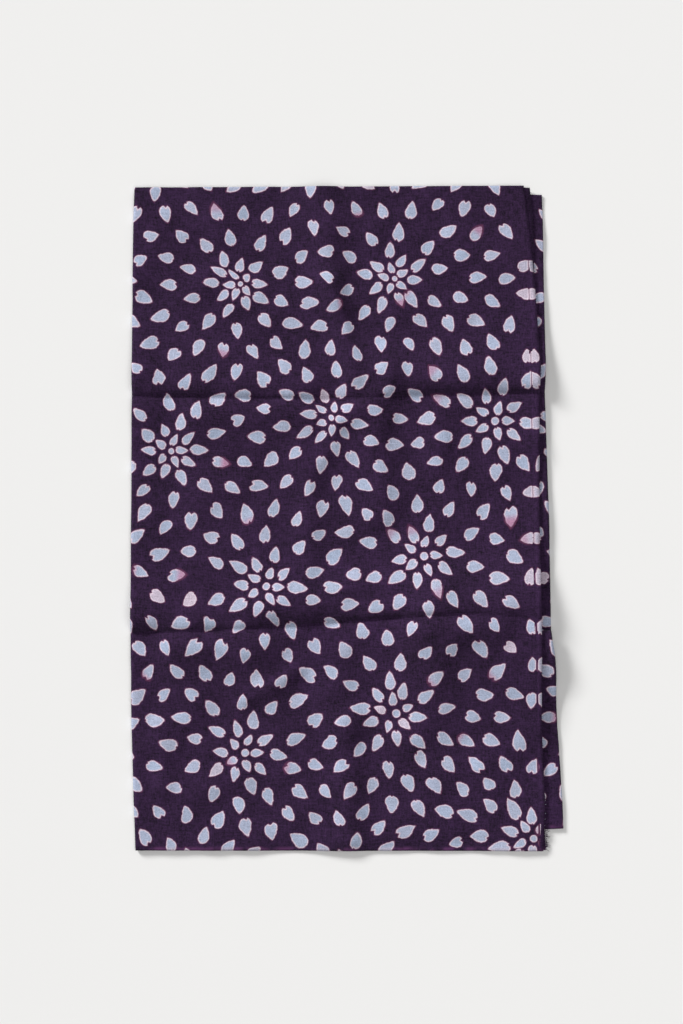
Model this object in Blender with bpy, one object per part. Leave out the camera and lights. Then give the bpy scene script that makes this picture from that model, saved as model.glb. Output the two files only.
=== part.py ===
"""A folded tenugui, the plain-woven cotton hand towel, 36 cm wide and 90 cm long, lying flat.

Units are metres, with +Z up. +X points to the side of the two cut ends and +Y to the upper selvedge.
The origin is under the middle of the folded towel, on the surface that it lies on.
The cloth is folded in half twice across its length. The lengths below are in millimetres.
"""

import math

import bmesh
import bpy

MM = 0.001

# The cloth as a solid: its thickness, and the step from one layer to the next
CLOTH_THICK = 1.0
LAYER_STEP = 1.5
CLOTH_WIDTH = 360.3

# The outline, as distances to the right of the folded towel's leftmost point.
# down: distance below the upper edge. left: the outer left fold. end_a: the cut end on top.
# end_b: the cut end under it. right: the right fold, which sticks out below both ends.
OUTLINE = (
    # down, left, end_a, end_b, right
    (0.0, 2.2, 212.9, 216.1, 223.1),
    (18.0, 1.6, 215.3, 218.0, 223.9),
    (52.0, 1.1, 219.0, 218.6, 224.4),
    (98.0, 0.8, 222.0, 219.6, 225.6),
    (112.0, 0.8, 221.5, 219.4, 225.0),
    (180.0, 0.3, 221.9, 219.8, 227.2),
    (240.0, 0.0, 223.2, 220.4, 228.4),
    (290.0, 0.5, 223.6, 221.4, 231.6),
    (335.0, 1.8, 223.9, 223.2, 234.4),
    (360.3, 2.7, 222.8, 226.1, 235.3),
)
OUTLINE_COLUMNS = ("down", "left", "end_a", "end_b", "right")

# How far below the top of the towel each line across the cloth starts and ends. The layers lie
# row over row between EASE_ABOVE and EASE_BELOW, and drift apart towards the selvedges.
EASE_ABOVE = 84.0
EASE_BELOW = 262.0
CROSS_LINES = {
    # name: (upper selvedge, lower selvedge)
    "end_a": (0.3, 360.6),
    "outer_left": (1.6, 359.4),
    "right": (4.9, 348.1),
    "inner_left": (1.9, 359.0),
    "end_b": (1.1, 359.8),
}

# The cloth from the upper cut end to the lower one: four layers, and the fold after each but the last
LAYERS = (
    # from line, to line, level, share of the creases' lift
    ("end_a", "outer_left", 3, 1.00),
    ("outer_left", "right", 0, 0.80),
    ("right", "inner_left", 1, 0.85),
    ("inner_left", "end_b", 2, 0.95),
)
# How far inside the outline each fold's line runs, for the fold to bulge out to the outline
LEFT_FOLD_INSET = 1.5 * LAYER_STEP + CLOTH_THICK / 2
RIGHT_FOLD_INSET = 0.5 * LAYER_STEP + CLOTH_THICK / 2
COLUMN_SHARES = (0.0, 0.12, 0.25, 0.36, 0.46, 0.55, 0.64, 0.73, 0.82, 0.91, 1.0)
OUTER_FOLD_STEPS = 6
NARROW_FOLD_STEPS = 4

# The two creases across the towel, left from an earlier folding in three: soft valleys with a
# swell along each side. Each has a row for the left side, the middle and the right side.
CREASES = (
    # right of the left side, down, lift above, reach above, lift below, reach below
    (
        (0.0, 113.6, 1.2, 9.0, 0.8, 8.0),
        (108.0, 115.2, 2.0, 10.0, 0.8, 8.0),
        (225.0, 111.8, 5.4, 12.0, 0.5, 8.0),
    ),
    (
        (0.0, 242.0, 2.2, 9.0, 1.0, 9.0),
        (108.0, 236.0, 1.6, 9.0, 1.2, 10.0),
        (225.0, 234.6, 0.6, 9.0, 0.6, 12.0),
    ),
)

# Low swells: the crease down the middle, which wanders a little, and the waves of the free edges
SWELLS = (
    # right, down, lift, half length across, half length down
    (104.0, 52.0, 0.9, 13.0, 52.0),
    (127.0, 166.0, 0.8, 13.0, 38.0),
    (111.0, 300.0, 0.9, 13.0, 58.0),
    (24.0, 356.0, 1.0, 26.0, 16.0),
    (122.0, 358.0, 0.7, 22.0, 14.0),
    (216.0, 356.0, 1.3, 20.0, 18.0),
    (30.0, 6.0, 0.6, 30.0, 16.0),
)

# Cloth that would stand less than this clear of what is under it lies flat on it
SETTLED = 0.12

# The pleat that has caught in the two lower layers at the second crease, where the part below
# laps over the part above it. It is shut at the right fold and opens out to the left.
PLEAT_START = 244.1
PLEAT_TURN = 1.6
PLEAT_RUN = 1.0
PLEAT_OPEN_SHARE = 0.55
PLEAT_SHUT_SHARE = 0.90
PLEAT_LENGTH = 2 * math.pi * PLEAT_TURN + PLEAT_RUN
PLEAT_END = PLEAT_START + PLEAT_LENGTH
PLEAT_STEPS = 12
PLEAT_PATH_STEPS = 48
# The slopes above and below the pleat, and how far short of it the layers over it are up
RAMP_ABOVE = 38.0
RAMP_BELOW = 58.0
PLEAT_CLEARANCE = 5.5

# Rows across the cloth's width, closer together at the creases
ROW_SPANS = (
    # from, to, steps
    (0.0, EASE_ABOVE, 4),
    (EASE_ABOVE, 105.0, 4),
    (105.0, 120.0, 5),
    (120.0, 135.0, 2),
    (135.0, 206.0, 3),
    (206.0, 228.0, 3),
    (228.0, PLEAT_START, 5),
    (PLEAT_START, PLEAT_END, PLEAT_STEPS),
    (PLEAT_END, 304.0, 6),
    (304.0, CLOTH_WIDTH, 3),
)

DYED_COLOUR = (0.040, 0.021, 0.052, 1.0)


def clear_scene():
    for thing in list(bpy.data.objects):
        bpy.data.objects.remove(thing, do_unlink=True)


def smooth(value, low, high):
    """0 below low, 1 above high, with a soft change between."""
    share = min(max((value - low) / (high - low), 0.0), 1.0)
    return share * share * (3.0 - 2.0 * share)


def between(rows, at):
    """The two rows of a table that at lies between, by their first column, and how far along it is."""
    for first, second in zip(rows, rows[1:]):
        if at <= second[0]:
            break
    return first, second, min(max((at - first[0]) / (second[0] - first[0]), 0.0), 1.0)


def outline(name, down):
    column = OUTLINE_COLUMNS.index(name)
    first, second, share = between(OUTLINE, down)
    return first[column] + (second[column] - first[column]) * share


def crease_lift(right, down):
    """Height of the creases' swells: zero in each valley, highest at its reach, then fading out."""
    lift = 0.0
    for rows in CREASES:
        first, second, share = between(rows, right)
        share = smooth(share, 0.0, 1.0)
        line, above, above_reach, below, below_reach = (
            a + (b - a) * share for a, b in zip(first[1:], second[1:])
        )
        away = line - down
        height, reach = (above, above_reach) if away > 0 else (below, below_reach)
        steps = abs(away) / reach
        lift += height * steps * math.exp(1.0 - steps)
    for x, y, height, half_across, half_down in SWELLS:
        across = (right - x) / half_across
        along = (down - y) / half_down
        lift += height * math.exp(-across * across - along * along)
    return max(lift - SETTLED, 0.0)


def pleat_path(closed, run):
    """Where the pleat's middle line is after a length run: (down, up, angle). closed is 0 to 1."""
    turn_length = math.pi * PLEAT_TURN
    widest = math.pi * closed

    def angle_at(place):
        first = min(place / turn_length, 1.0)
        second = max((place - turn_length - PLEAT_RUN) / turn_length, 0.0)
        return widest * (first - second)

    down = 0.0
    up = 0.0
    for step in range(PLEAT_PATH_STEPS):
        angle = angle_at(run * (step + 0.5) / PLEAT_PATH_STEPS)
        down += math.cos(angle) * run / PLEAT_PATH_STEPS
        up += math.sin(angle) * run / PLEAT_PATH_STEPS
    return down, up, angle_at(run)


def flat_span(share, from_line, to_line):
    """How far down the cloth starts and ends, at a share of the way between two lines across it."""
    first, second = CROSS_LINES[from_line], CROSS_LINES[to_line]
    return tuple(a + (b - a) * share for a, b in zip(first, second))


def eased(row, upper, lower):
    """How far down a row lies in a layer whose selvedges are at upper and lower."""
    if row < EASE_ABOVE:
        return upper + (EASE_ABOVE - upper) * row / EASE_ABOVE
    if row > EASE_BELOW:
        return EASE_BELOW + (lower - EASE_BELOW) * (row - EASE_BELOW) / (CLOTH_WIDTH - EASE_BELOW)
    return row


def pleat_at(share):
    """The pleat at a share of the way to the right: (closed, end, rise)."""
    closed = smooth(share, PLEAT_OPEN_SHARE, PLEAT_SHUT_SHARE)
    end_down, rise, _ = pleat_path(closed, PLEAT_LENGTH)
    return closed, PLEAT_START + end_down, rise


def over_pleat(share, upper, lower, row):
    """The place of a row in the two layers above the pleat: (down, up, angle)."""
    _, end, rise = pleat_at(share)
    down = eased(row, upper, lower)
    top = PLEAT_START - PLEAT_CLEARANCE
    climb = smooth(down, top - RAMP_ABOVE, top)
    fall = 1.0 - smooth(down, end, end + RAMP_BELOW)
    return down, rise * min(climb, fall), 0.0


def in_pleat(share, upper, lower, row):
    """The place of a row in the two pleated layers: (down, up, angle)."""
    closed, end, rise = pleat_at(share)
    if row <= PLEAT_START:
        return eased(row, upper, lower), 0.0, 0.0
    if row < PLEAT_END:
        down, up, angle = pleat_path(closed, row - PLEAT_START)
        return PLEAT_START + down, up, angle
    below = (lower - end) * (row - PLEAT_END) / (CLOTH_WIDTH - PLEAT_END)
    return end + below, rise * (1.0 - smooth(below, 0.0, RAMP_BELOW)), 0.0


def line_x(name, down):
    """Where a line across the cloth runs. The inner left fold lies inside the outer one."""
    if name in ("outer_left", "inner_left"):
        return outline("left", down) + LEFT_FOLD_INSET
    if name == "right":
        return outline("right", down) - RIGHT_FOLD_INSET
    return outline(name, down)


def placed(share, level, bulge, row):
    """A point of the cloth, in millimetres from the towel's upper left corner, with z up.

    share runs from the left folds at 0 to the right side at 1, level counts layers from the
    lowest up, and bulge is how far past the fold's line the point lies.
    """
    lower_pair = level <= 1.0
    end = "right" if lower_pair else ("end_a" if level > 2.5 else "end_b")
    start = "inner_left" if 0.5 < level < 2.5 else "outer_left"
    upper, lower = flat_span(share, start, end)
    place = in_pleat if lower_pair else over_pleat
    down, up, angle = place(share, upper, lower, row)
    flat_down = eased(row, upper, lower)
    left = line_x(start, flat_down)
    right = left + (line_x(end, flat_down) - left) * share + bulge
    pair_level = 0.5 if lower_pair else 0.0
    aside = (level - pair_level) * LAYER_STEP
    shares = [layer[3] for layer in sorted(LAYERS, key=lambda layer: layer[2])]
    below = min(int(level), 2)
    lift_share = shares[below] + (shares[below + 1] - shares[below]) * (level - below)
    height = CLOTH_THICK / 2 + pair_level * LAYER_STEP + up
    height += aside * math.cos(angle)
    height += lift_share * crease_lift(right, down)
    return right, down - aside * math.sin(angle), height


def cross_section():
    """The cloth's stations from one cut end to the other: (share, level, bulge) for each."""
    stations = []
    for index, (start, _, level, _) in enumerate(LAYERS):
        to_left = start in ("end_a", "right")
        shares = COLUMN_SHARES[::-1] if to_left else COLUMN_SHARES
        stations += [(share, float(level), 0.0) for share in shares]
        if index + 1 == len(LAYERS):
            break
        next_level = LAYERS[index + 1][2]
        steps = OUTER_FOLD_STEPS if abs(next_level - level) > 1 else NARROW_FOLD_STEPS
        radius = abs(next_level - level) * LAYER_STEP / 2
        side = -1.0 if to_left else 1.0
        for step in range(1, steps):
            turn = math.pi * step / steps
            middle = (level + next_level) / 2
            turned = middle + (level - middle) * math.cos(turn)
            stations.append((0.0 if to_left else 1.0, turned, side * radius * math.sin(turn)))
    return stations


def row_places():
    rows = [0.0]
    for start, end, steps in ROW_SPANS:
        rows += [start + (end - start) * (step + 1) / steps for step in range(steps)]
    return rows


def dyed_cotton():
    material = bpy.data.materials.new("dyed_cotton")
    material.use_nodes = True
    shader = material.node_tree.nodes["Principled BSDF"]
    shader.inputs["Base Color"].default_value = DYED_COLOUR
    shader.inputs["Roughness"].default_value = 0.9
    shader.inputs["Metallic"].default_value = 0.0
    return material


def make_towel():
    """One sheet: a grid laid along the cross section and down the rows, then given its thickness."""
    stations = cross_section()
    rows = row_places()
    bm = bmesh.new()
    bmesh.ops.create_grid(bm, x_segments=len(stations) - 1, y_segments=len(rows) - 1, size=1.0)
    to_left = []
    to_right = []
    for face in bm.faces:
        column = int((face.calc_center_median().x + 1.0) / 2.0 * (len(stations) - 1))
        heading_left = stations[column + 1][0] < stations[column][0]
        (to_left if heading_left else to_right).append(face)
    places = {}
    for vert in bm.verts:
        column = round((vert.co.x + 1.0) / 2.0 * (len(stations) - 1))
        row = round((vert.co.y + 1.0) / 2.0 * (len(rows) - 1))
        places[vert] = placed(*stations[column], rows[row])
    sides = [[place[axis] for place in places.values()] for axis in range(2)]
    middle = [(min(side) + max(side)) / 2 for side in sides]
    for vert, (right, down, height) in places.items():
        vert.co = ((right - middle[0]) * MM, (middle[1] - down) * MM, height * MM)
    # Both ways of splitting a quad are used, so that layers lying on each other bend alike
    for method, bent in (("FIXED", to_left), ("ALTERNATE", to_right)):
        bmesh.ops.triangulate(bm, faces=bent, quad_method=method)
    bmesh.ops.recalc_face_normals(bm, faces=bm.faces)
    mesh = bpy.data.meshes.new("towel")
    bm.to_mesh(mesh)
    bm.free()
    mesh.shade_smooth()
    towel = bpy.data.objects.new("towel", mesh)
    bpy.context.scene.collection.objects.link(towel)
    towel.data.materials.append(dyed_cotton())
    thickness = towel.modifiers.new("thickness", "SOLIDIFY")
    thickness.thickness = CLOTH_THICK * MM
    thickness.offset = 0.0
    thickness.use_rim = True
    return towel


clear_scene()
make_towel()
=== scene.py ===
"""A folded tenugui towel of dyed plain-woven cotton, lying on a pale table."""

import math

import bmesh
import bpy
import numpy as np
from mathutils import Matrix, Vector, kdtree


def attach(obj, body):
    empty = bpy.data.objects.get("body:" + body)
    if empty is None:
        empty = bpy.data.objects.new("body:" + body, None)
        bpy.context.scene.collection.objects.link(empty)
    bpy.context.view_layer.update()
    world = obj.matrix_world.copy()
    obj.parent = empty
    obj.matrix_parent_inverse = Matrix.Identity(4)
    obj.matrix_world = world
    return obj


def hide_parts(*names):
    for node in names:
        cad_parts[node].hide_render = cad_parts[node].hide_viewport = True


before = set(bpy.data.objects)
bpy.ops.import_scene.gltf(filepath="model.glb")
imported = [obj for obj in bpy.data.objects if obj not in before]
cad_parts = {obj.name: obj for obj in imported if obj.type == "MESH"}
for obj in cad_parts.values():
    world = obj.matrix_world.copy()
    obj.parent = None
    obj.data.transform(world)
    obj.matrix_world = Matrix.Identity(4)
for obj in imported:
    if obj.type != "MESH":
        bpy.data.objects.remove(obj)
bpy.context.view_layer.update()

# THE CLOTH, AS IT IS FOLDED
# One length of cotton, 36 cm from selvedge to selvedge and about 90 cm from cut end to cut end,
# folded in half twice across its length: four layers, two folds on the left and one on the right.
# Lengths are in millimetres. Right and down run from the folded towel's upper left corner.
MM = 0.001
CLOTH_THICK = 0.3
CLOTH_WIDTH = 360.3
CLOTH_LENGTH = 885.0
LAYER_STEP = 0.46

# Where the two folds and the two cut ends run
OUTLINE = {
    "down": (0.0, 18.0, 52.0, 98.0, 112.0, 180.0, 240.0, 290.0, 335.0, 360.3),
    "left": (2.2, 1.6, 1.1, 0.8, 0.8, 0.3, 0.0, 0.5, 1.8, 2.7),
    "end_a": (212.9, 215.2, 218.8, 221.8, 221.3, 221.4, 222.2, 222.4, 224.5, 223.6),
    "end_b": (216.1, 218.0, 218.6, 219.6, 219.4, 219.8, 220.4, 221.2, 223.0, 225.0),
    "right": (222.7, 223.4, 223.9, 224.8, 224.4, 226.8, 227.8, 230.6, 234.0, 235.1),
}
# How far below the top each line across the cloth starts and ends
EASE_ABOVE = 84.0
EASE_BELOW = 262.0
CROSS_LINES = {
    "end_a": (0.0, 360.3),
    "outer_left": (1.0, 359.9),
    "right": (4.9, 348.1),
    "inner_left": (1.9, 359.0),
    "end_b": (1.1, 359.8),
}
# The four layers in the order of the cloth. The level counts them from the table up, and
# the cloth runs to the left, to the right, to the left and to the right.
LAYERS = (
    # level, left line, right line, columns
    (3, "outer_left", "end_a", 112),
    (0, "outer_left", "right", 44),
    (1, "inner_left", "right", 44),
    (2, "inner_left", "end_b", 44),
)
# The level where the upper pair of layers starts, and the level of the top layer
UPPER_PAIR = 2
TOP_LEVEL = 3
# How much of the creases and ridges each layer takes up, from the lowest to the top one
LIFT_SHARES = (0.80, 0.86, 0.94, 1.0)
OUTER_FOLD_STEPS = 10
NARROW_FOLD_STEPS = 6

# Two creases run across the towel from an earlier folding in three, with a swell beside each.
# Each row gives one place along a crease, and the values run evenly from row to row.
CREASES = (
    # right, down, lift above, reach above, lift below, reach below
    (
        (0.0, 113.6, 3.8, 7.5, 1.2, 8.0),
        (60.0, 114.6, 4.2, 7.5, 1.2, 8.0),
        (100.0, 115.2, 3.6, 7.5, 1.0, 8.0),
        (113.0, 115.2, 2.2, 7.5, 1.0, 8.0),
        (130.0, 114.4, 4.6, 8.5, 0.9, 8.0),
        (165.0, 112.6, 5.6, 9.5, 0.7, 8.0),
        (225.0, 111.8, 6.0, 10.5, 0.7, 8.0),
    ),
    (
        (0.0, 242.0, 5.2, 9.0, 1.2, 7.0),
        (60.0, 240.0, 4.6, 8.5, 1.6, 7.0),
        (108.0, 236.5, 4.4, 8.0, 1.6, 8.0),
        (128.0, 234.8, 5.0, 7.5, 1.6, 8.0),
        (165.0, 232.0, 4.8, 7.5, 1.4, 9.0),
        (188.0, 231.5, 3.4, 8.0, 1.2, 9.0),
        (225.0, 234.6, 0.8, 9.0, 0.6, 12.0),
    ),
)
CREASE_SOFT = 0.03
SLOPE_STEP = 0.6

# Low swells that all four layers share, most at the free edges
SWELLS = (
    # right, down, lift, half length across, half length down
    (5.0, 358.0, 0.5, 9.0, 12.0),
    (46.0, 358.0, 0.8, 11.0, 14.0),
    (108.0, 358.0, 0.5, 20.0, 14.0),
    (216.0, 356.0, 1.1, 20.0, 18.0),
    (30.0, 6.0, 0.6, 30.0, 16.0),
)
# Soft ridges, each along a line, with its share in the lower layers
RIDGES = (
    # right, down, to right, to down, lift, half width, share below
    (105.0, -10.0, 108.0, 60.0, 4.2, 9.0, 0.5),
    (109.0, 52.0, 121.0, 102.0, 3.6, 6.0, 0.4),
    (144.0, 58.0, 150.0, 66.0, 2.0, 9.0, 0.2),
    (138.0, 92.0, 142.0, 102.0, 2.2, 6.0, 0.2),
    (62.0, 62.0, 72.0, 56.0, 2.0, 9.0, 0.2),
    (20.0, 14.0, 46.0, 30.0, 1.4, 5.0, 0.1),
    (12.0, 36.0, 40.0, 58.0, 1.3, 5.0, 0.1),
    (72.0, 74.0, 92.0, 92.0, 1.2, 6.0, 0.1),
    (172.0, 30.0, 200.0, 60.0, 1.1, 8.0, 0.1),
    (133.0, 128.0, 135.0, 178.0, 3.6, 8.5, 0.5),
    (97.0, 150.0, 96.0, 206.0, 3.0, 8.0, 0.5),
    (36.0, 124.0, 96.0, 124.0, 2.2, 9.0, 0.3),
    (106.0, 146.0, 112.0, 129.0, 1.8, 5.0, 0.1),
    (112.0, 128.0, 135.0, 115.0, 4.0, 6.5, 0.1),
    (167.0, 124.0, 168.0, 148.0, 1.8, 6.0, 0.1),
    (160.0, 204.0, 170.0, 212.0, 2.4, 9.0, 0.2),
    (66.0, 226.0, 92.0, 224.0, 2.2, 9.0, 0.2),
    (110.0, 217.0, 136.0, 215.0, 2.0, 6.5, 0.2),
    (24.0, 249.0, 70.0, 248.0, 3.2, 9.0, 0.3),
    (28.0, 263.0, 72.0, 257.0, 2.4, 10.0, 0.3),
    (61.0, 279.0, 90.0, 262.0, 2.3, 4.5, 0.1),
    (108.0, 276.0, 114.0, 266.0, 2.2, 8.0, 0.2),
    (158.0, 241.0, 198.0, 239.0, 3.6, 9.0, 0.3),
    (150.0, 299.0, 158.0, 296.0, 2.2, 9.0, 0.2),
    (116.0, 290.0, 118.0, 352.0, 3.8, 9.5, 0.5),
    (17.0, 292.0, 18.0, 324.0, 1.8, 6.0, 0.1),
    (34.0, 328.0, 44.0, 326.0, 2.0, 8.0, 0.1),
    (176.0, 316.0, 206.0, 308.0, 1.4, 8.0, 0.1),
)
# Where a layer stands further clear of the one below it
LOFTS = (
    # level, right, down, lift, half length across, half length down
    (1, 230.0, 30.0, 0.3, 16.0, 60.0),
    (1, 230.0, 112.0, 1.5, 16.0, 24.0),
    (1, 230.0, 190.0, 2.1, 16.0, 60.0),
    (1, 234.0, 258.0, 2.6, 14.0, 13.0),
    (1, 234.0, 300.0, 0.8, 14.0, 60.0),
    (2, 226.0, 10.0, 0.4, 34.0, 50.0),
    (2, 226.0, 137.0, 1.6, 30.0, 8.0),
    (2, 228.0, 211.0, 1.9, 46.0, 20.0),
    (2, 232.0, 286.0, 2.4, 46.0, 26.0),
    (3, 226.0, 10.0, 0.3, 20.0, 50.0),
    (3, 226.0, 330.0, 0.2, 30.0, 40.0),
    (1, 145.0, 252.0, 0.2, 16.0, 26.0),
    (2, 145.0, 252.0, 0.3, 18.0, 28.0),
    (3, 145.0, 252.0, 0.3, 18.0, 28.0),
    (2, 0.0, 180.0, 0.5, 12.0, 150.0),
    (3, 0.0, 180.0, 0.5, 12.0, 150.0),
)
# Small unevenness of soft cloth: one set of waves goes through all layers, and others lift
# each layer a little off the one below
WAVE_COUNT = 28
WAVE_LENGTHS = (46.0, 11.0)
SHARED_WAVES = 0.42
SHARED_WAVE_SHARES = (0.45, 0.65, 0.85, 1.0)
LAYER_WAVES = 0.07
WAVES_OFFSET = 1.8
SHARED_WAVES_SEED = 7
LAYER_WAVES_SEED = 20
# The waves are lower along the lower selvedge
CALM_FROM = 335.0
CALM_TO = 357.0
CALM_SHARE = 0.55
# Near its lower edge the upper pair reaches past the lower one and sinks to the table
DROOP_START = 0.5
DROOP_END = 6.0

# The pleat that has caught in the two lower layers at the second crease, where the part below
# laps over the part above it. It is shut at the right fold and opens out to the left.
PLEAT_START = 244.1
PLEAT_TURN = 1.6
PLEAT_RUN = 1.0
PLEAT_OPEN_SHARE = 0.55
PLEAT_SHUT_SHARE = 0.90
PLEAT_LENGTH = 2 * math.pi * PLEAT_TURN + PLEAT_RUN
PLEAT_END = PLEAT_START + PLEAT_LENGTH
PLEAT_PATH_STEPS = 48
RAMP_ABOVE = 46.0
RAMP_BELOW = 62.0
LOWER_RAMP_BELOW = 50.0
PLEAT_CLEARANCE = 8.0
# The folds on the left go with the pleated pair up to this level
PLEATED_TO = 1.2

ROW_SPANS = (
    # from, to, steps
    (0.0, 3.0, 3),
    (3.0, 98.0, 35),
    (98.0, 122.0, 28),
    (122.0, 224.0, 35),
    (224.0, PLEAT_START, 18),
    (PLEAT_START, PLEAT_END, 18),
    (PLEAT_END, 357.0, 42),
    (357.0, CLOTH_WIDTH, 3),
)


def smooth(value, low, high):
    """0 below low, 1 above high, with a soft change between."""
    share = np.clip((value - low) / (high - low), 0.0, 1.0)
    return share * share * (3.0 - 2.0 * share)


def outline(name, down):
    return np.interp(down, OUTLINE["down"], OUTLINE[name])


def waves(seed, right, down):
    """Gentle unevenness, mostly between -2 and 2: many low waves running every way."""
    draw = np.random.default_rng(seed)
    longest, shortest = WAVE_LENGTHS
    total = 0.0
    squares = 0.0
    for _ in range(WAVE_COUNT):
        length = longest * (shortest / longest) ** draw.random()
        heading = draw.uniform(0.0, 2 * math.pi)
        phase = draw.uniform(0.0, 2 * math.pi)
        distance = right * math.cos(heading) + down * math.sin(heading)
        total = total + length * np.sin(2 * math.pi * distance / length + phase)
        squares += length**2 / 2
    return total / math.sqrt(squares)


def crease_lift(right, down):
    """Height of the creases' swells: zero in each valley, highest at its reach, then fading out."""
    lift = np.zeros(np.broadcast(right, down).shape)
    for rows in CREASES:
        table = np.array(rows)
        line, above, above_reach, below, below_reach = (
            np.interp(right, table[:, 0], table[:, column]) for column in range(1, 6)
        )
        away = line - down
        height = np.where(away > 0, above, below)
        steps = np.abs(away) / np.where(away > 0, above_reach, below_reach)
        steps = np.sqrt(steps**2 + CREASE_SOFT**2) - CREASE_SOFT
        lift += height * steps * np.exp(1.0 - steps)
    for x, y, height, half_across, half_down in SWELLS:
        lift += height * np.exp(-(((right - x) / half_across) ** 2) - ((down - y) / half_down) ** 2)
    return lift


def ridge_lifts(right, down):
    """Height of the soft ridges: (as the layers underneath have it, what the top layer adds)."""
    below = np.zeros(np.broadcast(right, down).shape)
    added = np.zeros(below.shape)
    for x, y, to_x, to_y, height, half_width, share_below in RIDGES:
        length = math.hypot(to_x - x, to_y - y)
        along = ((right - x) * (to_x - x) + (down - y) * (to_y - y)) / length
        aside = ((right - x) * (to_y - y) - (down - y) * (to_x - x)) / length
        past = np.maximum(np.maximum(-along, along - length), 0.0)
        lift = height * np.exp(-(aside**2 + past**2) / half_width**2)
        below += share_below * lift
        added += (1.0 - share_below) * lift
    return below, added


def layer_heights(right, down):
    """Height of the middle of each of the four layers over the table, the lowest first."""
    below, added = ridge_lifts(right, down)
    creased = crease_lift(right, down)
    shared = creased + below
    slopes = [
        np.abs(crease_lift(right, down + step) - creased) / SLOPE_STEP
        for step in (-SLOPE_STEP, SLOPE_STEP)
    ]
    step_up = LAYER_STEP * np.hypot(1.0, np.maximum(*slopes))
    calm = 1.0 - CALM_SHARE * smooth(down, CALM_FROM, CALM_TO)
    wavy = SHARED_WAVES * calm * np.maximum(waves(SHARED_WAVES_SEED, right, down) + WAVES_OFFSET, 0.0)
    lower_edge = CROSS_LINES["outer_left"][1] + (
        CROSS_LINES["right"][1] - CROSS_LINES["outer_left"][1]
    ) * (right / OUTLINE["right"][-1])
    droop = 2 * LAYER_STEP * smooth(down, lower_edge + DROOP_START, lower_edge + DROOP_END)
    stack = CLOTH_THICK / 2
    heights = []
    for level in range(len(LAYERS)):
        if level:
            stack = stack + step_up
            uneven = waves(LAYER_WAVES_SEED + level, right, down) + WAVES_OFFSET
            stack = stack + LAYER_WAVES * np.maximum(uneven, 0.0)
        if level == TOP_LEVEL:
            stack = stack + added
        for loft_level, x, y, lift, half_across, half_down in LOFTS:
            if loft_level == level:
                across = (right - x) / half_across
                along = (down - y) / half_down
                stack = stack + lift * np.exp(-(across**2) - along**2)
        height = stack + LIFT_SHARES[level] * shared + SHARED_WAVE_SHARES[level] * wavy
        heights.append(height - droop if level >= UPPER_PAIR else height)
    return heights


def half_gap(low, high, right, down):
    """Half the height between two layers, which is the radius of a fold that joins them there."""
    heights = layer_heights(right, down)
    return (heights[high] - heights[low]) / 2


def pleat_path(closed, run):
    """Where the pleat's middle line is after a length run: (down, up, angle). closed is 0 to 1."""
    turn_length = math.pi * PLEAT_TURN

    def turned(at):
        first = np.minimum(at / turn_length, 1.0)
        second = np.maximum((at - turn_length - PLEAT_RUN) / turn_length, 0.0)
        return math.pi * closed * (first - second)

    middles = (np.arange(PLEAT_PATH_STEPS) + 0.5) / PLEAT_PATH_STEPS
    down = sum(np.cos(turned(run * at)) for at in middles) * run / PLEAT_PATH_STEPS
    up = sum(np.sin(turned(run * at)) for at in middles) * run / PLEAT_PATH_STEPS
    return down, up, turned(run)


def eased(row, upper, lower):
    """How far down a row lies in a layer whose selvedges are at upper and lower."""
    above = upper + (EASE_ABOVE - upper) * row / EASE_ABOVE
    below = EASE_BELOW + (lower - EASE_BELOW) * (row - EASE_BELOW) / (CLOTH_WIDTH - EASE_BELOW)
    return np.where(row < EASE_ABOVE, above, np.where(row > EASE_BELOW, below, row))


def over_pleat(share, upper, lower, row):
    """The place of a row in the two layers above the pleat: (down, up, angle)."""
    closed = smooth(share, PLEAT_OPEN_SHARE, PLEAT_SHUT_SHARE)
    end_down, rise, _ = pleat_path(closed, PLEAT_LENGTH)
    end = PLEAT_START + end_down
    down = eased(row, upper, lower)
    top = PLEAT_START - PLEAT_CLEARANCE
    climb = smooth(down, top - RAMP_ABOVE, top)
    fall = 1.0 - smooth(down, end, end + RAMP_BELOW)
    return down, rise * np.minimum(climb, fall), np.zeros(down.shape)


def in_pleat(share, upper, lower, row):
    """The place of a row in the two pleated layers: (down, up, angle)."""
    closed = smooth(share, PLEAT_OPEN_SHARE, PLEAT_SHUT_SHARE)
    end_down, rise, _ = pleat_path(closed, PLEAT_LENGTH)
    end = PLEAT_START + end_down
    path_down, path_up, angle = pleat_path(closed, np.clip(row - PLEAT_START, 0.0, PLEAT_LENGTH))
    below = (lower - end) * (row - PLEAT_END) / (CLOTH_WIDTH - PLEAT_END)
    above_it = row <= PLEAT_START
    below_it = row >= PLEAT_END
    down = np.where(above_it, eased(row, upper, lower), PLEAT_START + path_down)
    down = np.where(below_it, end + below, down)
    up = np.where(below_it, rise * (1.0 - smooth(below, 0.0, LOWER_RAMP_BELOW)), path_up)
    return down, up, np.where(above_it | below_it, 0.0, angle)


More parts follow.
